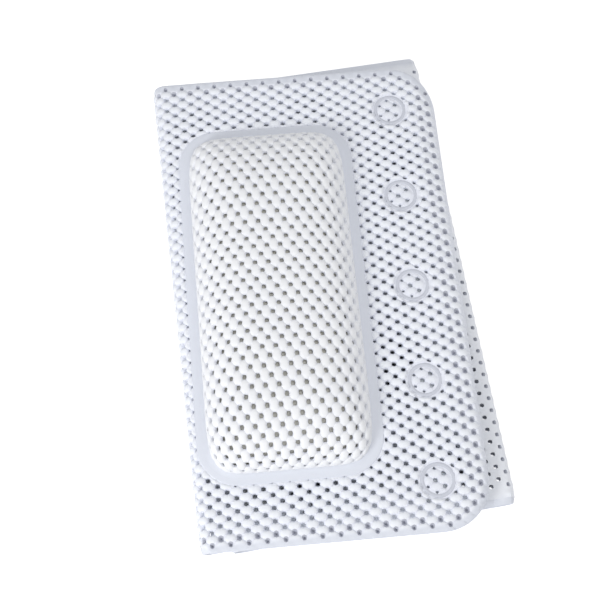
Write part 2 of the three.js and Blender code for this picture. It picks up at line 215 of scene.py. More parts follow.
def mat_folds(mat):
    """The head, middle and foot folds: where each starts on the flat mat, its slant, bend and turn."""
    half = mat.thickness / 2
    plans = (
        (mat.head_slant, mat.outer_bend, 1, mat.back),
        (0.0, mat.inner_bend, -1, mat.seat),
        (mat.foot_slant, mat.outer_bend, 1, mat.foot),
    )
    folds, line = [], 0.0
    for slant, radius, turn, panel in plans:
        reach = 2 * math.sqrt(2) * (radius + half)
        folds.append(Fold(line, slant, radius, reach, turn))
        line -= reach / math.cos(slant) + panel
    return folds, line


def mat_origin(mat, pillow):
    """Where the flat mat's zero, the start of the head fold, lies in the frame."""
    low, high = PILLOW_BOX
    return np.array((
        (low.x + high.x) / 2 - pillow.to_fold - pillow.along / 2,
        (low.y + high.y) / 2,
        HEAD_BOX[1].z - mat.thickness / 2,
    ))


def smooth(value, low, high):
    """0 below low, 1 above high and an even curve between."""
    t = np.clip((value - low) / (high - low), 0, 1)
    return t * t * (3 - 2 * t)


def past_line(points, fold):
    """How far flat points lie past a fold's start, and their places along it."""
    x, y = points[:, 0] - fold.line, points[:, 1]
    c, s = math.cos(fold.slant), math.sin(fold.slant)
    return -x * c - y * s, -x * s + y * c


def fold_axes(fold):
    """The directions along and across a fold on the flat mat."""
    c, s = math.cos(fold.slant), math.sin(fold.slant)
    return np.array((-s, c, 0.0)), np.array((-c, -s, 0.0))


def turned_over(points, fold):
    """Points that lie past a fold, turned half round to lie under or over the panel before it."""
    along, across = fold_axes(fold)
    centre = across * fold.reach / 2 + np.array((fold.line, 0.0, -fold.turn * fold.radius))
    arm = points - centre
    return centre + 2 * np.outer(arm @ along, along) - arm


def folded(flat, mat, pillow):
    """Lays flat points (along the mat, across it, over the foam's middle) on the folded mat."""
    folds, _ = mat_folds(mat)
    from_end = mat.head - flat[:, 0]
    far = smooth(flat[:, 1], -mat.width / 2, mat.width / 2)
    fall = mat.droop_near + (mat.droop_far - mat.droop_near) * far
    place = flat.copy()
    place[:, 2] -= fall * np.clip(1 - from_end / mat.droop_length, 0, None) ** 2
    for fold in reversed(folds):
        along, across = fold_axes(fold)
        run, place_along = past_line(flat, fold)
        past = run >= fold.reach
        place[past] = turned_over(place[past], fold)
        bend = (run > 0) & ~past
        turn = math.pi * run[bend] / fold.reach
        radius = fold.radius + fold.turn * flat[bend, 2]
        place[bend] = np.outer(place_along[bend], along) + np.outer(radius * np.sin(turn), across)
        place[bend, 0] += fold.line
        place[bend, 2] = fold.turn * (radius * np.cos(turn) - fold.radius)
    return place + mat_origin(mat, pillow)


def mesh_arrays(mesh):
    """A mesh's points, and its faces as lists of point numbers."""
    points = np.zeros(len(mesh.vertices) * 3)
    mesh.vertices.foreach_get("co", points)
    return points.reshape(-1, 3), [tuple(face.vertices) for face in mesh.polygons]


def linked(name, data):
    """A new object in the scene, made of this data."""
    thing = bpy.data.objects.new(name, data)
    bpy.context.scene.collection.objects.link(thing)
    return thing


def new_piece(name, points, faces, material, **marks):
    """A smooth piece at the origin. Marks are numbers kept on its points or faces for its material."""
    mesh = bpy.data.meshes.new(name)
    mesh.from_pydata(np.asarray(points).tolist(), [], [list(face) for face in faces])
    mesh.validate()
    mesh.shade_smooth()
    for mark, values in marks.items():
        where = "POINT" if len(values) == len(points) else "FACE"
        layer = mesh.attributes.new(mark, "FLOAT", where)
        layer.data.foreach_set("value", np.asarray(values, np.float32))
    mesh.materials.append(material)
    return linked(name, mesh)


def add_node(tree, kind, settings=None, **sockets):
    """Adds a node with its settings, and sets or links its inputs by name or by number as _0, _1."""
    node = tree.nodes.new(kind)
    for key, value in (settings or {}).items():
        setattr(node, key, value)
    for key, value in sockets.items():
        socket = node.inputs[int(key[1:]) if key[0] == "_" else key.replace("_", " ")]
        if isinstance(value, bpy.types.NodeSocket):
            tree.links.new(value, socket)
        else:
            socket.default_value = value
    return node


def new_tree(name, inputs):
    """A geometry node tree, and its inputs by name."""
    tree = bpy.data.node_groups.new(name, "GeometryNodeTree")
    tree.interface.new_socket("Geometry", in_out="OUTPUT", socket_type="NodeSocketGeometry")
    for key, kind in inputs.items():
        tree.interface.new_socket(key, in_out="INPUT", socket_type="NodeSocket" + kind)
    return tree, add_node(tree, "NodeGroupInput").outputs


def puff_mesh(foam, thickness):
    """One puff: a cushion between four holes, with a groove on each side and a flat underside."""
    a, b = foam.pitch_along / 2, foam.pitch_across / 2
    crown, base = thickness / 2, -thickness / 2
    # a thinner foam has the same form, only lower
    share = thickness / bpy.context.scene.mat_sizes.thickness
    hole_bottom, groove_bottom = 0.86 * base, 0.92 * base
    squareness, steps = 4, 2
    edge, under, at_hole = [], [], []
    for x, y in ((a, 0), (0, b), (-a, 0), (0, -b)):
        inward = math.atan2(-y, -x)
        spread = math.atan2(b, a) if x else math.atan2(a, b)
        # the part of a hole's rim that faces this puff, and then the middle of a groove
        for i in range(steps + 1):
            turn = inward + spread * (1 - 2 * i / steps)
            c, s = math.cos(turn), math.sin(turn)
            radius = foam.hole / 2 / (abs(c) ** squareness + abs(s) ** squareness) ** (1 / squareness)
            narrow = foam.under_hole * radius
            edge.append((x + radius * c, y + radius * s, foam.rim * share))
            under.append((x + narrow * c, y + narrow * s, hole_bottom))
            at_hole.append(i < steps)
        nx, ny = -y / b * a, x / a * b
        edge.append(((x + nx) / 2, (y + ny) / 2, foam.groove * share))
        under.append(((x + nx) / 2, (y + ny) / 2, groove_bottom))
        at_hole.append(False)
    count = len(edge)
    points = list(edge)
    for inset, rise in PUFF_RINGS:
        points += [(x * (1 - inset), y * (1 - inset), z + (crown - z) * rise) for x, y, z in edge]
    points += [(0, 0, crown)] + under + [(0, 0, base)]
    top, below = 3 * count, 3 * count + 1
    faces = []
    for i in range(count):
        j = (i + 1) % count
        faces += [(i, j, count + j, count + i), (count + i, count + j, 2 * count + j, 2 * count + i)]
        faces += [(2 * count + i, 2 * count + j, top), (below + count, below + j, below + i)]
        if at_hole[i]:
            faces.append((below + i, below + j, j, i))
    mesh = bpy.data.meshes.new("puff")
    mesh.from_pydata(points, [], faces)
    return mesh


def puff_tree():
    """Geometry nodes that repeat one puff over the foam's staggered rows, welded to one sheet."""
    tree, size = new_tree("puffed_foam_rows", {
        "Columns": "Int", "Rows": "Int", "Length": "Float", "Width": "Float", "Middle": "Float",
        "Pitch along": "Float", "Pitch across": "Float", "Puff": "Object", "Foam": "Material"})
    grid = add_node(
        tree, "GeometryNodeMeshGrid", None, Size_X=size["Length"], Size_Y=size["Width"],
        Vertices_X=size["Columns"], Vertices_Y=size["Rows"])
    rows_of_puffs = add_node(tree, "GeometryNodeJoinGeometry")
    # every second row is shifted by half a pitch
    for along, across in ((0.5, 0.0), (0.0, 0.5)):
        x = add_node(
            tree, "ShaderNodeMath", {"operation": "MULTIPLY_ADD"}, _0=size["Pitch along"], _1=along,
            _2=size["Middle"])
        y = add_node(
            tree, "ShaderNodeMath", {"operation": "MULTIPLY"}, _0=size["Pitch across"], _1=across)
        step = add_node(tree, "ShaderNodeCombineXYZ", None, X=x.outputs[0], Y=y.outputs[0])
        moved = add_node(
            tree, "GeometryNodeTransform", None, Geometry=grid.outputs["Mesh"],
            Translation=step.outputs[0])
        tree.links.new(moved.outputs[0], rows_of_puffs.inputs[0])
    puff = add_node(tree, "GeometryNodeObjectInfo", None, Object=size["Puff"]).outputs["Geometry"]
    copies = add_node(
        tree, "GeometryNodeInstanceOnPoints", None, Points=rows_of_puffs.outputs[0], Instance=puff)
    solid = add_node(tree, "GeometryNodeRealizeInstances", None, Geometry=copies.outputs[0])
    sheet = add_node(
        tree, "GeometryNodeMergeByDistance", None, Geometry=solid.outputs[0], Distance=SEAM)
    dressed = add_node(
        tree, "GeometryNodeSetMaterial", None, Geometry=sheet.outputs[0], Material=size["Foam"])
    add_node(tree, "NodeGroupOutput", None, Geometry=dressed.outputs[0])
    return tree


def made_by_nodes(name, tree, values):
    """A plain mesh made by a geometry node tree with these named inputs."""
    holder = linked(name, bpy.data.meshes.new(name + "_empty"))
    rule = holder.modifiers.new("rule", "NODES")
    rule.node_group = tree
    for item in tree.interface.items_tree:
        if item.in_out == "INPUT" and item.name in values:
            rule[item.identifier] = values[item.name]
    graph = bpy.context.evaluated_depsgraph_get()
    mesh = bpy.data.meshes.new_from_object(holder.evaluated_get(graph))
    holder.modifiers.remove(rule)
    bpy.data.objects.remove(holder)
    return mesh


def puffed_rows(foam, thickness, start, stop, half_width, material):
    """Points and faces of a flat field of puffs."""
    puff = linked("puff", puff_mesh(foam, thickness))
    tree = bpy.data.node_groups.get("puffed_foam_rows") or puff_tree()
    first, last = math.floor(start / foam.pitch_along), math.ceil(stop / foam.pitch_along)
    rows = 2 * math.ceil(half_width / foam.pitch_across)
    mesh = made_by_nodes("puff_rows", tree, {
        "Columns": last - first + 1, "Length": (last - first) * foam.pitch_along,
        "Rows": rows + 1, "Width": rows * foam.pitch_across,
        "Middle": (first + last) / 2 * foam.pitch_along, "Pitch along": foam.pitch_along,
        "Pitch across": foam.pitch_across, "Puff": puff, "Foam": material,
    })
    bpy.data.objects.remove(puff)
    points, faces = mesh_arrays(mesh)
    bpy.data.meshes.remove(mesh)
    if not faces:
        raise RuntimeError("the puff rows came out empty")
    return points, faces


def open_edges(faces):
    """Edges that only one face uses."""
    seen = {}
    for face in faces:
        for a, b in zip(face, face[1:] + face[:1]):
            key = (a, b) if a < b else (b, a)
            seen[key] = None if key in seen else (a, b)
    return [edge for edge in seen.values() if edge]


def nearest_in_rows(points, foam, rounded):
    """The place in the foam's staggered rows that each flat point belongs to, by a way of rounding."""
    a, b = foam.pitch_along, foam.pitch_across
    p = rounded(points[:, 0] / a + points[:, 1] / b)
    q = rounded(points[:, 0] / a - points[:, 1] / b)
    return np.stack(((p + q) * a / 2, (p - q) * b / 2), 1)


def hole_centres(points, foam):
    """The hole nearest to each point."""
    return nearest_in_rows(points, foam, np.round)


def puff_centres(points, foam):
    """The middle of the puff that each point lies in."""
    return nearest_in_rows(points, foam, lambda steps: np.floor(steps) + 0.5)


def welded(points, faces):
    """Joins points that lie in one place, and drops faces that this leaves without an area."""
    _, first, number = np.unique(np.round(points, 7), axis=0, return_index=True, return_inverse=True)
    number = number.ravel()
    joined = []
    for face in faces:
        face = [int(number[i]) for i in face]
        face = [i for k, i in enumerate(face) if i != face[k - 1]]
        if len(face) > 2:
            joined.append(tuple(face))
    return points[first], joined


def trimmed(points, faces, foam, outline, keep):
    """Cuts a field of puffs to an outline, and to the puffs that keep picks.

    A hole on the outline is closed. Returns the points, the faces, which points lie on the
    outline's rim, and each point's offset from its hole, or 0 where it isn't at an open hole.
    """
    holes = hole_centres(points, foam)
    offset = points[:, :2] - holes
    on_outline = outline.depth(holes) < 0.75 * foam.hole
    closed = (np.hypot(*offset.T) < HOLE_REACH * foam.hole) & on_outline
    points[closed, :2] = holes[closed]
    points, faces = welded(points, faces)
    middles = np.array([points[list(face), :2].mean(0) for face in faces])
    inside = outline.depth(middles) > RIM_GAP
    rim = outline.depth(points[:, :2]) < RIM_GAP
    for edge in open_edges([face for face, ok in zip(faces, inside) if ok]):
        rim[list(edge)] = True
    kept = inside & keep(puff_centres(middles, foam))
    faces = [face for face, ok in zip(faces, kept) if ok]
    holes = hole_centres(points, foam)
    offset = points[:, :2] - holes
    at_hole = np.hypot(*offset.T) < HOLE_REACH * foam.hole
    seam = [
        (a, b) for a, b in open_edges(faces) if at_hole[a] != at_hole[b] and not (rim[a] and rim[b])]
    faces += seam_walls(points, holes, at_hole, seam)
    used = np.unique(np.concatenate([np.array(face) for face in faces]))
    number = np.full(len(points), -1)
    number[used] = np.arange(len(used))
    faces = [tuple(int(number[i]) for i in face) for face in faces]
    offset = np.where(at_hole[:, None], offset, 0.0)
    return points[used], faces, rim[used], offset[used]


def shut_rim(flat, rim, outline):
    """Brings the rim's points to the outline, where the foam's top meets its underside."""
    below = flat[:, 2] < -0.25 * np.ptp(flat[:, 2])
    flat[rim, :2] = outline.snap(flat[rim, :2])
    flat[rim, 2] = 0.0
    upper, lower = np.where(rim & ~below)[0], np.where(rim & below)[0]
    # 200 points or so at a time, to save memory
    for part in np.array_split(upper, max(1, len(upper) // 200)):
        gap = np.linalg.norm(flat[part, None, :2] - flat[None, lower, :2], axis=2)
        flat[part, :2] = flat[lower[gap.argmin(1)], :2]


def seam_walls(points, holes, at_hole, edges):
    """Walls that close the foam where one piece of the sheet meets the next.

    Each open edge runs from a hole to the middle of a groove, once on top and once underneath.
    """
    sides = {}
    for a, b in edges:
        end, middle = (a, b) if at_hole[a] else (b, a)
        key = (*np.round(points[middle, :2], 5), *np.round(holes[end], 5))
        sides.setdefault(key, []).append((end, middle))
    walls = []
    for first, second in (pair for pair in sides.values() if len(pair) == 2):
        walls.append((first[0], first[1], second[1], second[0]))
    return walls


def rounded_depth(xy, half, corner):
    """How far points lie inside a rounded rectangle about zero."""
    past = np.abs(xy) - (np.array(half) - corner)
    return corner - np.hypot(*np.clip(past, 0, None).T) - np.clip(past.max(1), None, 0)


class MatOutline:
    """The flat mat's outline: a long rectangle with round corners, counted from a place along it."""

    def __init__(self, mat, zero=0.0):
        _, end = mat_folds(mat)
        self.middle = np.array(((mat.head + end) / 2 - zero, 0.0))
        self.half = np.array(((mat.head - end) / 2, mat.width / 2))
        self.corner = mat.corner

    def depth(self, xy):
        """How far points lie inside the outline."""
        return rounded_depth(xy - self.middle, self.half, self.corner)

    def snap(self, xy):
        """The nearest places on the outline."""
        arm = xy - self.middle
        side = np.where(arm < 0, -1.0, 1.0)
        past = np.abs(arm) - (self.half - self.corner)
        corner = past.min(1) > 0
        size = np.hypot(*past.T)
        round_off = past / np.where(size, size, 1)[:, None] * self.corner
        longer = past[:, 0] > past[:, 1]
        straight = np.stack((
            np.where(longer, self.corner, past[:, 0]), np.where(longer, past[:, 1], self.corner)), 1)
        near = np.where(corner[:, None], round_off, straight)
        return self.middle + side * (near + self.half - self.corner)


def closed_rim(piece):
    """Welds the foam's top to its underside along the rim and clears what was squeezed flat there."""
    shape = bmesh.new()
    shape.from_mesh(piece.data)
    bmesh.ops.remove_doubles(shape, verts=shape.verts, dist=RIM_GAP)
    bmesh.ops.dissolve_degenerate(shape, edges=shape.edges, dist=RIM_GAP / 4)
    bmesh.ops.delete(shape, geom=[e for e in shape.edges if not e.link_faces], context="EDGES")
    bmesh.ops.delete(shape, geom=[v for v in shape.verts if not v.link_faces], context="VERTS")
    bmesh.ops.recalc_face_normals(shape, faces=shape.faces)
    shape.to_mesh(piece.data)
    shape.free()
    piece.data.shade_smooth()
    piece.data.set_sharp_from_angle(angle=math.radians(55))


def lofted(rows, count, rows_close=True, count_closes=True):
    """Faces between rows of points, closed from the last row to the first and round each row."""
    faces = []
    for i in range(rows if rows_close else rows - 1):
        j = (i + 1) % rows
        for k in range(count if count_closes else count - 1):
            m = (k + 1) % count
            faces.append((i * count + k, j * count + k, j * count + m, i * count + m))
    return faces


def ring_band(profile, steps, placed):
    """A closed band with a profile of (across, height), placed by a rule at each step round it."""
    points = [placed(i / steps, across, height) for i in range(steps) for across, height in profile]
    return points, lofted(steps, len(profile))


def cup_rows(mat, cups):
    """Where the rows of cups stand along the flat mat, by the body that they ride on."""
    (head, _, foot), end = mat_folds(mat)
    head_row = mat.head - cups.setback
    back_start = head.line - head.reach / math.cos(head.slant)
    back_row = back_start - (head_row - 2 * cups.lip - cups.facing_gap)
    foot_start = foot.line - foot.reach / math.cos(foot.slant)
    first, last = foot_start - cups.fold_setback, end + cups.setback
    # folded, the seat's second row lies midway between the foot's two rows
    seat_row = foot.line + foot_start - (first + last) / 2
    return {
        "head_panel": (head_row,),
        "back_panel": (back_row + cups.back_pitch, back_row),
        "seat_panel": (seat_row + cups.seat_pitch, seat_row),
        "foot_panel": (first, last),
    }


def cup_places(mat, cups):
    """Places of the cups across the mat."""
    reach = mat.width / 2 - cups.margin
    return [-reach + 2 * reach * i / (cups.per_row - 1) for i in range(cups.per_row)]


def weld_spots(mat, cups):
    """Places of all the cups' welds on the flat mat."""
    return [(x, y) for row in cup_rows(mat, cups).values() for x in row for y in cup_places(mat, cups)]


def new_material(name):
    """A material made of nodes, with its tree and its shader."""
    material = bpy.data.materials.new(name)
    material.use_nodes = True
    return material, material.node_tree, material.node_tree.nodes["Principled BSDF"]


def foam_material(name, crown):
    """PVC foam, cast on a net and puffed, with the colour of its crowns.

    A soft matt white skin with a faint pebbled grain, with painted shade: a darker, bluer colour in the
    grooves, and grey on the walls of closed holes and in part on the weld rings. Pressed places are
    smoother, greyer and a little glossier.
    """
    colours = bpy.context.scene.mat_colours
    material, tree, skin = new_material(name)
    place = add_node(tree, "ShaderNodeTexCoord").outputs["Object"]
    pressed, groove, greyed = (
        add_node(tree, "ShaderNodeAttribute", {"attribute_name": mark}).outputs["Fac"]
        for mark in ("pressed", "groove", "greyed"))
    # soft blotches about 30 mm across, as such foam never comes out one even white; the groove mark adds
    # painted shade, the grooves' darker colour where shade falls between the puffs
    cloud = add_node(tree, "ShaderNodeTexNoise", None, Vector=place, Scale=1 / 0.030, Detail=2.0)
    blotches_and_groove_shade = add_node(
        tree, "ShaderNodeMath", {"operation": "MULTIPLY_ADD", "use_clamp": True},
        _0=cloud.outputs["Fac"], _1=0.3, _2=groove)
    tone = add_node(
        tree, "ShaderNodeMix", {"data_type": "RGBA"}, Factor=blotches_and_groove_shade.outputs[0],
        _6=(*crown, 1), _7=(*colours.groove_painted_shade, 1))
    flat = add_node(
        tree, "ShaderNodeMix", {"data_type": "RGBA"}, Factor=pressed,
        _6=tone.outputs[2], _7=(*colours.weld, 1))
    # painted shade: the walls of a hole that pressing has closed are painted grey, as the shade inside
    # it, and the weld rings take part of that grey as their shade
    dark = add_node(
        tree, "ShaderNodeMix", {"data_type": "RGBA"}, Factor=greyed,
        _6=flat.outputs[2], _7=(*colours.grey, 1))
    tree.links.new(dark.outputs[2], skin.inputs["Base Color"])
    gloss = add_node(tree, "ShaderNodeMapRange", None, Value=pressed, To_Min=0.56, To_Max=0.40)
    tree.links.new(gloss.outputs[0], skin.inputs["Roughness"])
    # pebbled grain of about 0.9 mm, drawn a little coarser than the real skin so that it shows
    grain = add_node(tree, "ShaderNodeTexNoise", None, Vector=place, Scale=1 / 0.0009, Detail=1.0)
    dent = add_node(
        tree, "ShaderNodeBump", None, Strength=0.12, Distance=0.0002, Height=grain.outputs["Fac"])
    tree.links.new(dent.outputs[0], skin.inputs["Normal"])
    skin.inputs["IOR"].default_value = 1.5
    return material


def plain_skin(name, colour, roughness, grain, depth):
    """A skin of one colour, clouded and dented by a grain of the given size and depth."""
    material, tree, skin = new_material(name)
    place = add_node(tree, "ShaderNodeTexCoord").outputs["Object"]
    cloud = add_node(tree, "ShaderNodeTexNoise", None, Vector=place, Scale=1 / grain, Detail=2.0)
    tone = add_node(
        tree, "ShaderNodeMix", {"data_type": "RGBA"}, Factor=cloud.outputs["Fac"],
        _6=(*colour, 1), _7=(*(0.86 * c for c in colour), 1))
    tree.links.new(tone.outputs[2], skin.inputs["Base Color"])
    skin.inputs["Roughness"].default_value = roughness
    dent = add_node(
        tree, "ShaderNodeBump", None, Strength=0.4, Distance=depth, Height=cloud.outputs["Fac"])
    tree.links.new(dent.outputs[0], skin.inputs["Normal"])
    return material


def pressed_foam(flat, rim, hole, scene):
    """Presses the hem, the weld rings and the weld band's seat into flat puffed foam.

    Returns how far each point is pressed, and which points belong to a hole that pressing closed.
    """
    mat, foam, pillow = scene.mat_sizes, scene.foam_sizes, scene.pillow_sizes
    outline = MatOutline(mat)
    shut_rim(flat, rim, outline)
    depth = np.where(rim, 0.0, outline.depth(flat[:, :2]))
    # the hem is widest along the far side and narrowest along the two ends
    end_narrowing, near_narrowing = 2.0, 0.4
    along_end = smooth(mat.width / 2 - np.abs(flat[:, 1]), 0.6 * mat.corner, 1.4 * mat.corner)
    near = smooth(-flat[:, 1], -mat.corner, mat.corner)
    hem_depth = depth * (1 + end_narrowing * along_end + near_narrowing * near * (1 - along_end))
    puffed = smooth(hem_depth, 0.5 * foam.hem, 1.2 * foam.hem)
    pressed = 1 - puffed
    # the hem's faces round off towards its rim
    rounding = 1.6 / foam.hem_thickness
    level = np.where(flat[:, 2] > 0, 1, -1) * foam.hem_thickness / 2
    level = level * np.sqrt(np.clip(rounding * depth, 0, 1))
    # what is left of a hole's width in the hem, beside a weld, and where it is closed
    hem_hole, weld_hole, closed_hole = 0.75, 0.35, 0.04
    left = hem_hole + (1 - hem_hole) * puffed
    # all points but the underside's
    top = flat[:, 2] > -0.4 * foam.hem_thickness
    # slopes from the welds to the puffs, and how far the puffs inside a ring and under it stand up
    outer_slope, inner_slope = 1.6 * MM, 1.8 * MM
    ring_puff, under_ring = 0.6, 0.7 * foam.ring_height
    for along, across in weld_spots(mat, scene.cup_sizes):
        reach = np.hypot(flat[:, 0] - along, flat[:, 1] - across)
        outside = smooth(reach, foam.ring_outer, foam.ring_outer + outer_slope)
        within = 1 - smooth(reach, foam.ring_inner - inner_slope, foam.ring_inner)
        puffed = np.where(top, np.minimum(puffed, np.maximum(outside, ring_puff * within)), puffed)
        level = np.where(top & (outside < 1), under_ring, level)
        left = np.minimum(left, weld_hole + (1 - weld_hole) * np.maximum(outside, within))
    seat = np.array((pillow.to_fold + pillow.along / 2, 0.0))
    into = rounded_depth(flat[:, :2] - seat, (pillow.along / 2, pillow.across / 2), pillow.corner)
    stays = 1 - smooth(into, -outer_slope, 0.2 * MM)
    puffed = np.where(top, np.minimum(puffed, stays), puffed)
    left = np.minimum(left, weld_hole + (1 - weld_hole) * stays)
    # the holes nearest to the hem are shut underneath, where pressing closed them
    closed = (np.abs(hole).sum(1) > 0) & (outline.depth(flat[:, :2] - hole) < foam.closed)
    left = np.where(closed & ~top, closed_hole, left)
    flat[:, 2] = level + (flat[:, 2] - level) * puffed
    flat[:, :2] -= hole * (1 - left)[:, None]
    return pressed, closed


def weld_rings(scene, keep):
    """The raised rings of the cups' welds on the flat foam, in the rows that keep picks."""
    mat, foam, cups = scene.mat_sizes, scene.foam_sizes, scene.cup_sizes
    radius = (foam.ring_outer + foam.ring_inner) / 2
    edge = (foam.ring_outer - foam.ring_inner) / 2
    high = foam.ring_height
    low, shoulder = 0.3 * high, 0.86 * high
    profile = [(-edge, low), (-0.7 * edge, shoulder), (0, high), (0.7 * edge, shoulder), (edge, low)]
    for along, across in weld_spots(mat, cups):
        if keep(np.array(((along, 0.0),)))[0]:
            yield ring_band(profile, 56, lambda share, reach, height: (
                along + (radius + reach) * math.cos(2 * math.pi * share),
                across + (radius + reach) * math.sin(2 * math.pi * share), height))


def foam_piece(name, start, stop, keep):
    """One piece of the mat's foam sheet, cut from the flat mat, pressed and folded."""
    scene = bpy.context.scene
    mat, foam = scene.mat_sizes, scene.foam_sizes
    # the weld rings take this share of the painted grey shade
    kind, ring_painted_shade = "puffed_pvc_foam", 0.6
    material = bpy.data.materials.get(kind) or foam_material(kind, scene.mat_colours.foam)
    # the rows of puffs are counted from the head end
    points, faces = puffed_rows(
        foam, mat.thickness, start - mat.head, stop - mat.head, mat.width / 2 + foam.pitch_across,
        material)
    flat, faces, rim, hole = trimmed(
        points, faces, foam, MatOutline(mat, mat.head), lambda puff: keep(puff + (mat.head, 0)))
    flat[:, 0] += mat.head
    pressed, closed = pressed_foam(flat, rim, hole, scene)
    # painted shade: the walls of holes closed underneath are painted grey, where shade falls in them
    greyed = [float(closed[list(face)].all()) for face in faces]
    for ring, skin in weld_rings(scene, keep):
        faces += [tuple(len(flat) + i for i in face) for face in skin]
        flat = np.concatenate((flat, ring))
        pressed = np.concatenate((pressed, np.ones(len(ring))))
        greyed += [ring_painted_shade] * len(skin)
    # painted shade: the groove mark paints the grooves' darker colour into the low places of the puffed
    # top; the underside gets none
    groove = (1 - smooth(flat[:, 2], 0.8 * foam.rim, 0.45 * mat.thickness)) * (flat[:, 2] > 0)
    piece = new_piece(
        name, folded(flat, mat, scene.pillow_sizes), faces, material,
        pressed=pressed, groove=groove, greyed=greyed)
    closed_rim(piece)
    return piece


def hinge_span(fold, second):
    """Two points in the frame, before and after the bend of a fold's first or second hinge line."""
    scene = bpy.context.scene
    # a hinge's bend takes up this angle of the fold's arc, in radians, on either side of its line
    spread = 0.15
    step = spread * fold.reach / math.pi
    line = np.array((fold.line, 0.0, 0.0))
    middle = fold.reach * (0.75 if second else 0.25)
    ends = np.array([line + fold_axes(fold)[1] * (middle + shift) for shift in (-step, step)])
    return [tuple(Vector(point)) for point in folded(ends, scene.mat_sizes, scene.pillow_sizes)]


def before_fold(fold):
    """A test of which flat points lie before the middle of a fold."""
    return lambda xy: past_line(xy, fold)[0] < fold.reach / 2


def between(cuts, number):
    """A test of which flat points lie between a piece's two cuts. The end pieces have only one."""

    def test(xy):
        kept = np.ones(len(xy), bool)
        if number > 0:
            kept &= ~cuts[number - 1](xy)
        if number < len(cuts):
            kept &= cuts[number](xy)
        return kept

    return test


class MAT_OT_foam(bpy.types.Operator):
    """Make the puffed foam sheet in the pieces that its folds divide it into"""

    bl_idname = "bath_mat.foam"
    bl_label = "Foam sheet"

    def execute(self, context):
        mat, foam = context.scene.mat_sizes, context.scene.foam_sizes
        folds, end = mat_folds(mat)
        head, middle, foot = folds
        back_half = (head.line - head.reach + middle.line) / 2
        seat_half = (middle.line - middle.reach + foot.line) / 2
        ends = (mat.head, head.line, back_half, middle.line, seat_half, foot.line, end)
        cuts = (
            before_fold(head), lambda xy: xy[:, 0] > back_half, before_fold(middle),
            lambda xy: xy[:, 0] > seat_half, before_fold(foot))
        # foam that is laid out beyond a piece's ends, so that a slanted cut finds foam all the way
        spare = mat.width / 2 * math.tan(mat.head_slant) + head.reach + foam.pitch_along
        # each piece: its name, its length on the flat mat, and the model's parts that it takes the place
        # of
        pieces = (
            ("head_foam", mat.head + head.reach / 2, ("head_sheet", "head_fold")),
            ("back_foam_upper", head.reach / 2 + mat.back / 2, ("back_sheet",)),
            ("back_foam_lower", mat.back / 2 + middle.reach / 2, ("middle_fold",)),
            ("seat_foam_upper", middle.reach / 2 + mat.seat / 2, ("seat_sheet",)),
            ("seat_foam_lower", mat.seat / 2 + foot.reach / 2, ("foot_fold",)),
            ("foot_foam", foot.reach / 2 + mat.foot, ("foot_sheet",)),
        )
        for i, (name, flat_length, nodes) in enumerate(pieces):
            piece = foam_piece(name, ends[i + 1] - spare, ends[i] + spare, between(cuts, i))
            before, after = hinge_span(folds[i // 2], i % 2)
            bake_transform(piece)
            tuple(before)
            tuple(after)
            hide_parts(*nodes)
        return {"FINISHED"}


class Dome:
    """The pillow's dome: a foot outline with rounded ends, rising to a long crown."""

    def __init__(self, pillow, base, rise, foot_inset):
        self.half = pillow.along / 2 - pillow.band - foot_inset
        self.end = self.half * pillow.end_ramp
        self.ridge = pillow.across / 2 - pillow.band - foot_inset - self.end
        self.base, self.rise = base, rise
        self.swell, self.flank, self.power = pillow.swell, pillow.flank, pillow.roundness
        self.share = np.linspace(0, 1, 400) ** 2
        rises = np.diff(self.height(self.share))
        steps = np.hypot(np.diff(self.share) * self.half, rises)
        end_steps = np.hypot(np.diff(self.share) * self.end, rises)
        self.arc = np.concatenate(([0], np.cumsum(steps))) / pillow.stretch
        self.reach = self.arc[-1]
        self.longer = end_steps.sum() / steps.sum()

    def height(self, share):
        """Height at a share of the way from the foot to the crown."""
        return self.base + self.rise * (1 - (1 - share) ** self.swell) ** (1 / self.flank)

    def arm(self, xy):
        """Nearest point of the crown line, the way from it, and its length by the outline's measure."""
        crown = np.stack((np.zeros(len(xy)), np.clip(xy[:, 1], -self.ridge, self.ridge)), 1)
        way = xy - crown
        size = (np.abs(way / (1, self.longer)) ** self.power).sum(1) ** (1 / self.power)
        return crown, way, size

    def depth(self, xy):
        """How far flat points lie inside the cover's foot."""
        return self.reach - self.arm(xy)[2]

    def snap(self, xy):
        """The nearest places on the cover's foot."""
        crown, way, size = self.arm(xy)
        return crown + way * (self.reach / np.maximum(size, 1e-9))[:, None]

    def surface(self, xy):
        """Lays flat points on the dome, keeping their distance from the foot."""
        crown, way, size = self.arm(xy)
        share = np.interp(np.clip(self.reach - size, 0, None), self.arc, self.share)
        scale = self.half * (1 - share) / np.maximum(size, 1e-9)
        way = way * scale[:, None] * (1, self.end / self.half / self.longer)
        return np.concatenate((crown + way, self.height(share)[:, None]), 1)

    def place(self, points):
        """Lays flat points with a height on the dome, the height along the dome's own normal."""
        step = 0.2 * MM
        here = self.surface(points[:, :2])
        # the slope is taken a hair inside the foot, where the dome has one
        flat = points[:, :2] * (1 - 1e-4)
        x = self.surface(flat + (step, 0)) - self.surface(flat - (step, 0))
        y = self.surface(flat + (0, step)) - self.surface(flat - (0, step))
        normal = np.cross(x, y)
        normal /= np.maximum(np.linalg.norm(normal, axis=1), 1e-12)[:, None]
        return here + normal * points[:, 2:]


class QuarterTurn:
    """An outline turned a quarter, for foam that lies across the mat."""

    def __init__(self, outline):
        self.outline = outline

    def depth(self, xy):
        return self.outline.depth(np.stack((-xy[:, 1], xy[:, 0]), 1))

    def snap(self, xy):
        turned = self.outline.snap(np.stack((-xy[:, 1], xy[:, 0]), 1))
        return np.stack((turned[:, 1], -turned[:, 0]), 1)


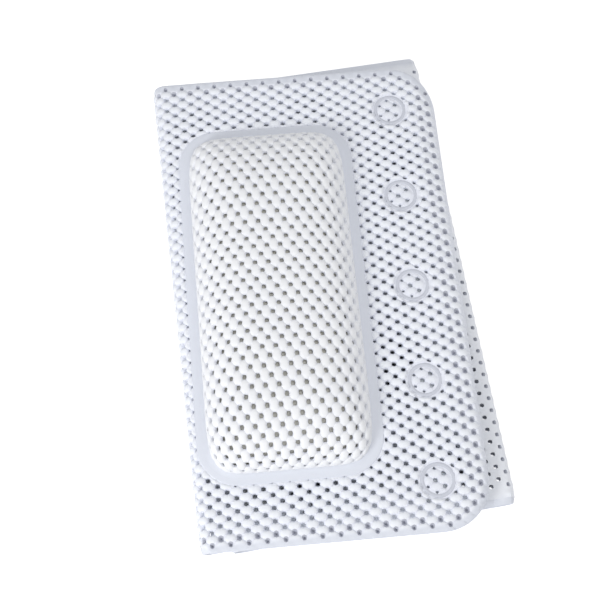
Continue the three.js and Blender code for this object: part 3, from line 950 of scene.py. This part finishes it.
class MAT_OT_pillow(bpy.types.Operator):
    """Make the pillow's puffed cover with its weld band, and the foam core inside it"""

    bl_idname = "bath_mat.pillow"
    bl_label = "Pillow"

    def execute(self, context):
        scene = context.scene
        mat, foam, pillow = scene.mat_sizes, scene.foam_sizes, scene.pillow_sizes
        top = PILLOW_BOX[1].z - mat_origin(mat, pillow)[2]
        # the cover's foot is let into the weld band a little
        base = pillow.band_height - 0.3 * MM
        dome = Dome(pillow, base, top - pillow.cover / 2 - base, 0.0)
        # the same foam as the mat's, a little warmer over the straw-coloured core
        material = foam_material("puffed_pvc_cover_foam", scene.mat_colours.cover)
        # the cover's foam lies across the mat: it is made along X, as the mat's is, and turned a quarter
        turned = QuarterTurn(dome)
        margin = 2 * foam.pitch_along
        half_length = dome.reach * dome.longer + dome.ridge + margin
        points, faces = puffed_rows(
            foam, pillow.cover, -half_length, half_length, dome.reach + margin, material)
        flat, faces, rim, hole = trimmed(points, faces, foam, turned, lambda c: np.ones(len(c), bool))
        shut_rim(flat, rim, turned)
        depth = np.where(rim, 0.0, turned.depth(flat[:, :2]))
        # puffs and holes grow to their full size over the first 9 mm from the foot
        foot_height, foot_hole = 0.3, 0.5
        puffed = smooth(depth, 0.5 * MM, 9 * MM)
        flat[:, 2] *= foot_height + (1 - foot_height) * puffed
        flat[:, :2] -= hole * ((1 - foot_hole) * (1 - puffed))[:, None]
        pressed = 1 - smooth(depth, 0.0, 3 * MM)
        # painted shade in the cover's grooves, weaker than on the mat
        groove = 0.4 * (1 - smooth(flat[:, 2], 0.5 * foam.rim, 0.45 * pillow.cover)) * puffed
        shape = dome.place(np.stack((-flat[:, 1], flat[:, 0], flat[:, 2]), 1))
        band, skin = self.band(pillow)
        faces += [tuple(len(shape) + i for i in face) for face in skin]
        shape = np.concatenate((shape, band))
        pressed = np.concatenate((pressed, np.ones(len(band))))
        groove = np.concatenate((groove, np.zeros(len(band))))
        shift = mat_origin(mat, pillow) + (pillow.to_fold + pillow.along / 2, 0, 0)
        cover = new_piece(
            "pillow_foam_cover", shape + shift, faces, material, pressed=pressed, groove=groove)
        closed_rim(cover)
        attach(cover, "head_panel")
        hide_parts("pillow_cover")
        self.core(scene, pillow, mat, top, shift)
        return {"FINISHED"}

    def band(self, pillow):
        """The flat weld band round the pillow's foot, which rises to the dome on its inner side."""
        foot, inner = -pillow.band, -(pillow.band + 4 * MM)
        low, high = 0.5 * MM, pillow.band_height
        profile = [
            (inner, low), (inner, high + 3.4 * MM), (foot - 1 * MM, high + 1.6 * MM),
            (foot + 1.5 * MM, high + 0.5 * MM), (foot + 4 * MM, high), (-0.8 * MM, high),
            (-0.2 * MM, high - 0.25 * MM), (0.0, high - 0.8 * MM), (0.0, low)]
        half = np.array((pillow.along / 2, pillow.across / 2)) - pillow.corner
        bend = math.pi / 2 * pillow.corner
        round_all = 4 * half.sum() + 4 * bend

        def placed(share, across, height):
            way = share * round_all
            for quarter, (sx, sy) in enumerate(((1, 1), (-1, 1), (-1, -1), (1, -1))):
                side = 2 * half[1 - quarter % 2]
                turn = quarter * math.pi / 2
                if way <= side:
                    c, s = math.cos(turn), math.sin(turn)
                    along = way - side / 2
                    out = half[quarter % 2] + pillow.corner + across
                    return (out * c - along * s, out * s + along * c, height)
                way -= side
                if way <= bend or quarter == 3:
                    turn += way / pillow.corner
                    radius = pillow.corner + across
                    return (
                        sx * half[0] + radius * math.cos(turn), sy * half[1] + radius * math.sin(turn),
                        height)
                way -= bend

        return ring_band(profile, 480, placed)

    def core(self, scene, pillow, mat, top, shift):
        """The foam block inside the cover: a smooth closed dome."""
        base = mat.thickness / 2 + 0.5 * MM
        inset = pillow.cover + 1 * MM
        dome = Dome(pillow, base, top - inset - base, inset)
        around, rings = 160, 22
        turn = np.linspace(0, 2 * np.pi, around, endpoint=False)
        points = []
        for i in range(rings):
            # rings lie closer together near the foot, where the dome is steep
            size = dome.reach * (1 - (i / rings) ** 1.4)
            way = np.stack((np.cos(turn), np.sin(turn)), 1)
            way *= (size / (np.abs(way) ** dome.power).sum(1) ** (1 / dome.power))[:, None]
            way[:, 1] = way[:, 1] * dome.longer + np.sign(np.round(way[:, 1], 9)) * dome.ridge
            points.append(dome.surface(way))
        points = np.concatenate(points)
        faces = [(a, d, c, b) for a, b, c, d in lofted(rings, around, rows_close=False)]
        faces.append(tuple(reversed(range(around))))
        faces.append(tuple((rings - 1) * around + j for j in range(around)))
        # polyurethane foam, cut from a block: a dull straw yellow with open cells of about 1.2 mm
        material = plain_skin(
            "polyurethane_core_foam", scene.mat_colours.core, roughness=0.95, grain=1.2 * MM,
            depth=0.4 * MM)
        piece = new_piece("pillow_core_block", points + shift, faces, material)
        closed_rim(piece)
        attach(piece, "head_panel")
        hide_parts("pillow_core")


def cup_tree():
    """Geometry nodes that stand one cup on each point of a row, turned as the row's normals say."""
    tree, given = new_tree("cups_in_rows", {"Rows": "Object", "Cup": "Object", "Vinyl": "Material"})
    rows = add_node(tree, "GeometryNodeObjectInfo", None, Object=given["Rows"])
    cup = add_node(tree, "GeometryNodeObjectInfo", None, Object=given["Cup"])
    facing = add_node(
        tree, "GeometryNodeInputNamedAttribute", {"data_type": "FLOAT_VECTOR"}, Name="facing")
    turn = add_node(
        tree, "FunctionNodeAlignRotationToVector", {"axis": "Z"}, Vector=facing.outputs[0])
    copies = add_node(
        tree, "GeometryNodeInstanceOnPoints", None, Points=rows.outputs["Geometry"],
        Instance=cup.outputs["Geometry"], Rotation=turn.outputs[0])
    solid = add_node(tree, "GeometryNodeRealizeInstances", None, Geometry=copies.outputs[0])
    dressed = add_node(
        tree, "GeometryNodeSetMaterial", None, Geometry=solid.outputs[0], Material=given["Vinyl"])
    add_node(tree, "NodeGroupOutput", None, Geometry=dressed.outputs[0])
    return tree


class MAT_OT_cups(bpy.types.Operator):
    """Make the suction cups, one set of rows for each panel"""

    bl_idname = "bath_mat.cups"
    bl_label = "Suction cups"

    def execute(self, context):
        scene = context.scene
        mat, cups, pillow = scene.mat_sizes, scene.cup_sizes, scene.pillow_sizes
        # soft clear-white PVC, moulded: smooth, a little see-through at the thin lip
        vinyl = plain_skin(
            "moulded_soft_pvc", scene.mat_colours.cup, roughness=0.28, grain=6 * MM, depth=0.05 * MM)
        skin = vinyl.node_tree.nodes["Principled BSDF"]
        skin.inputs["Transmission Weight"].default_value = 0.25
        skin.inputs["IOR"].default_value = 1.53
        cup = linked("cup", self.cup_mesh(cups))
        tree = cup_tree()
        for body, lines in cup_rows(mat, cups).items():
            flat = np.array([(x, y, -mat.thickness / 2) for x in lines for y in cup_places(mat, cups)])
            place = folded(flat, mat, pillow)
            facing = (folded(flat - (0, 0, MM), mat, pillow) - place) / MM
            mesh = bpy.data.meshes.new("cup_points")
            mesh.from_pydata(place.tolist(), [], [])
            layer = mesh.attributes.new("facing", "FLOAT_VECTOR", "POINT")
            layer.data.foreach_set("vector", facing.ravel())
            rows = linked("cup_points", mesh)
            made = made_by_nodes("cups", tree, {"Rows": rows, "Cup": cup, "Vinyl": vinyl})
            bpy.data.objects.remove(rows)
            made.shade_smooth()
            panel = body.split("_")[0]
            piece = linked(panel + "_cups", made)
            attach(piece, body)
            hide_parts(*[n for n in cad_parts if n.startswith(panel + "_cup")])
        bpy.data.objects.remove(cup)
        return {"FINISHED"}

    def cup_mesh(self, cups):
        """One cup, turned from its profile, with its lip along +Z."""
        flange, neck, lip = cups.flange, cups.neck, cups.lip
        neck_start, neck_end = cups.flange_thickness, cups.flange_thickness + cups.neck_length
        top, hollow = cups.height, cups.height - cups.hollow
        profile = [
            (flange - 0.3 * MM, 0.0), (flange, 0.4 * MM), (flange - 0.4 * MM, neck_start - 0.3 * MM),
            (flange - 1.4 * MM, neck_start), (neck + 1.2 * MM, neck_start + 0.1 * MM),
            (neck, neck_start + 0.7 * MM), (neck + 0.2 * MM, neck_end - 0.3 * MM),
            (neck + 2.2 * MM, neck_end + 0.5 * MM), (lip - 4.4 * MM, top - 2.6 * MM),
            (lip - 1.6 * MM, top - 1.3 * MM), (lip - 0.2 * MM, top - 0.6 * MM), (lip, top - 0.15 * MM),
            (lip - 0.3 * MM, top), (lip - 1.2 * MM, top - 0.1 * MM), (lip - 3.4 * MM, top - 0.7 * MM),
            (0.55 * lip, hollow + 0.9 * MM), (0.3 * lip, hollow + 0.2 * MM)]
        steps, count = 48, len(profile)
        turns = [2 * math.pi * i / steps for i in range(steps)]
        points = [(r * math.cos(turn), r * math.sin(turn), z) for turn in turns for r, z in profile]
        faces = lofted(steps, count, count_closes=False)
        faces.append(tuple(i * count for i in reversed(range(steps))))
        faces.append(tuple(i * count + count - 1 for i in range(steps)))
        mesh = bpy.data.meshes.new("cup")
        mesh.from_pydata(points, [], faces)
        return mesh


def any_ray(tree, first, *others):
    """1 for light rays of any of these kinds and 0 for others."""
    path = add_node(tree, "ShaderNodeLightPath").outputs
    seen = path[first]
    for kind in others:
        seen = add_node(
            tree, "ShaderNodeMath", {"operation": "MAXIMUM"}, _0=seen, _1=path[kind]).outputs[0]
    return seen


class MAT_OT_stage(bpy.types.Operator):
    """Lay the floor, set the studio light and place the camera"""

    bl_idname = "bath_mat.stage"
    bl_label = "Stage"

    def execute(self, context):
        scene = context.scene
        stage = scene.stage_settings
        scene.view_settings.view_transform = "Standard"
        self.floor(scene, stage)
        self.light(scene, stage)
        self.camera(scene, stage)
        return {"FINISHED"}

    def floor(self, scene, stage):
        """A sheet of white paper, lifted to plain white for the camera, that keeps the mat's shadow."""
        size, drop = 6.0, -0.2 * MM
        mesh = bpy.data.meshes.new("studio_floor")
        corners = ((-1, -1), (1, -1), (1, 1), (-1, 1))
        mesh.from_pydata([(x * size, y * size, drop) for x, y in corners], [], [(0, 1, 2, 3)])
        material, tree, skin = new_material("studio_paper")
        tree.nodes.remove(skin)
        seen = any_ray(tree, "Is Camera Ray", "Is Glossy Ray", "Is Transmission Ray")
        paper = add_node(tree, "ShaderNodeBsdfDiffuse", None, Color=(*scene.mat_colours.floor, 1))
        lift = add_node(tree, "ShaderNodeMath", {"operation": "MULTIPLY"}, _0=seen, _1=stage.floor_glow)
        glow = add_node(tree, "ShaderNodeEmission", None, Color=(1, 1, 1, 1), Strength=lift.outputs[0])
        both = add_node(tree, "ShaderNodeAddShader", None, _0=paper.outputs[0], _1=glow.outputs[0])
        tree.links.new(both.outputs[0], tree.nodes["Material Output"].inputs["Surface"])
        mesh.materials.append(material)
        linked("studio_floor", mesh)

    def light(self, scene, stage):
        """Even light from all round, white where the camera looks past the floor, and two lamps."""
        world = bpy.data.worlds.new("studio")
        world.use_nodes = True
        tree = world.node_tree
        seen = any_ray(tree, "Is Camera Ray", "Is Transmission Ray")
        level = add_node(tree, "ShaderNodeMapRange", None, Value=seen, To_Min=stage.fill, To_Max=1.0)
        sky = tree.nodes["Background"]
        sky.inputs["Color"].default_value = (1, 1, 1, 1)
        tree.links.new(level.outputs[0], sky.inputs["Strength"])
        scene.world = world
        aim = Vector(stage.target)
        for name, place, size, share in LAMPS:
            lamp = bpy.data.lights.new(name, "AREA")
            lamp.shape, lamp.size = "DISK", size
            lamp.energy = stage.key * share
            holder = linked(name, lamp)
            holder.location = place
            holder.rotation_euler = (aim - Vector(place)).to_track_quat("-Z", "Y").to_euler()

    def camera(self, scene, stage):
        """The camera, which looks at the target from the settings' direction and distance."""
        c, s = math.cos(stage.elevation), math.sin(stage.elevation)
        forward = Vector((math.sin(stage.azimuth) * c, math.cos(stage.azimuth) * c, -s))
        level = forward.cross(Vector((0, 0, 1))).normalized()
        rise = level.cross(forward)
        right = math.cos(stage.roll) * level + math.sin(stage.roll) * rise
        up = math.cos(stage.roll) * rise - math.sin(stage.roll) * level
        lens = bpy.data.cameras.new("camera")
        lens.sensor_width = 36.0
        lens.lens = stage.focal
        lens.clip_start, lens.clip_end = 0.05, 20.0
        camera = linked("camera", lens)
        turn = Matrix((right, up, -forward)).transposed().to_4x4()
        camera.matrix_world = Matrix.Translation(Vector(stage.target) - forward * stage.distance) @ turn
        scene.camera = camera


class MAT_PT_panel(bpy.types.Panel):
    """The bath mat's steps and sizes"""

    bl_idname = "MAT_PT_panel"
    bl_label = "Bath mat"
    bl_space_type = "VIEW_3D"
    bl_region_type = "UI"
    bl_category = "Bath Mat"

    def draw(self, context):
        layout = self.layout
        for step in STEPS:
            layout.operator(step.bl_idname)
        for key, _ in GROUPS:
            group = getattr(context.scene, key)
            box = layout.box()
            box.label(text=key.replace("_", " ").capitalize())
            for name in group.__annotations__:
                box.prop(group, name)


STEPS = (MAT_OT_foam, MAT_OT_pillow, MAT_OT_cups, MAT_OT_stage)
GROUPS = (
    ("mat_sizes", MatSizes), ("foam_sizes", FoamSizes), ("pillow_sizes", PillowSizes),
    ("cup_sizes", CupSizes), ("mat_colours", MatColours), ("stage_settings", StageSettings),
)


def register():
    for key, group in GROUPS:
        bpy.utils.register_class(group)
        setattr(bpy.types.Scene, key, PointerProperty(type=group))
    for kind in (*STEPS, MAT_PT_panel):
        bpy.utils.register_class(kind)


def unregister():
    for kind in reversed((*STEPS, MAT_PT_panel)):
        bpy.utils.unregister_class(kind)
    for key, group in reversed(GROUPS):
        delattr(bpy.types.Scene, key)
        bpy.utils.unregister_class(group)


def main():
    register()
    bpy.ops.bath_mat.foam()
    bpy.ops.bath_mat.pillow()
    bpy.ops.bath_mat.cups()
    bpy.ops.bath_mat.stage()


if __name__ == "__main__":
    main()
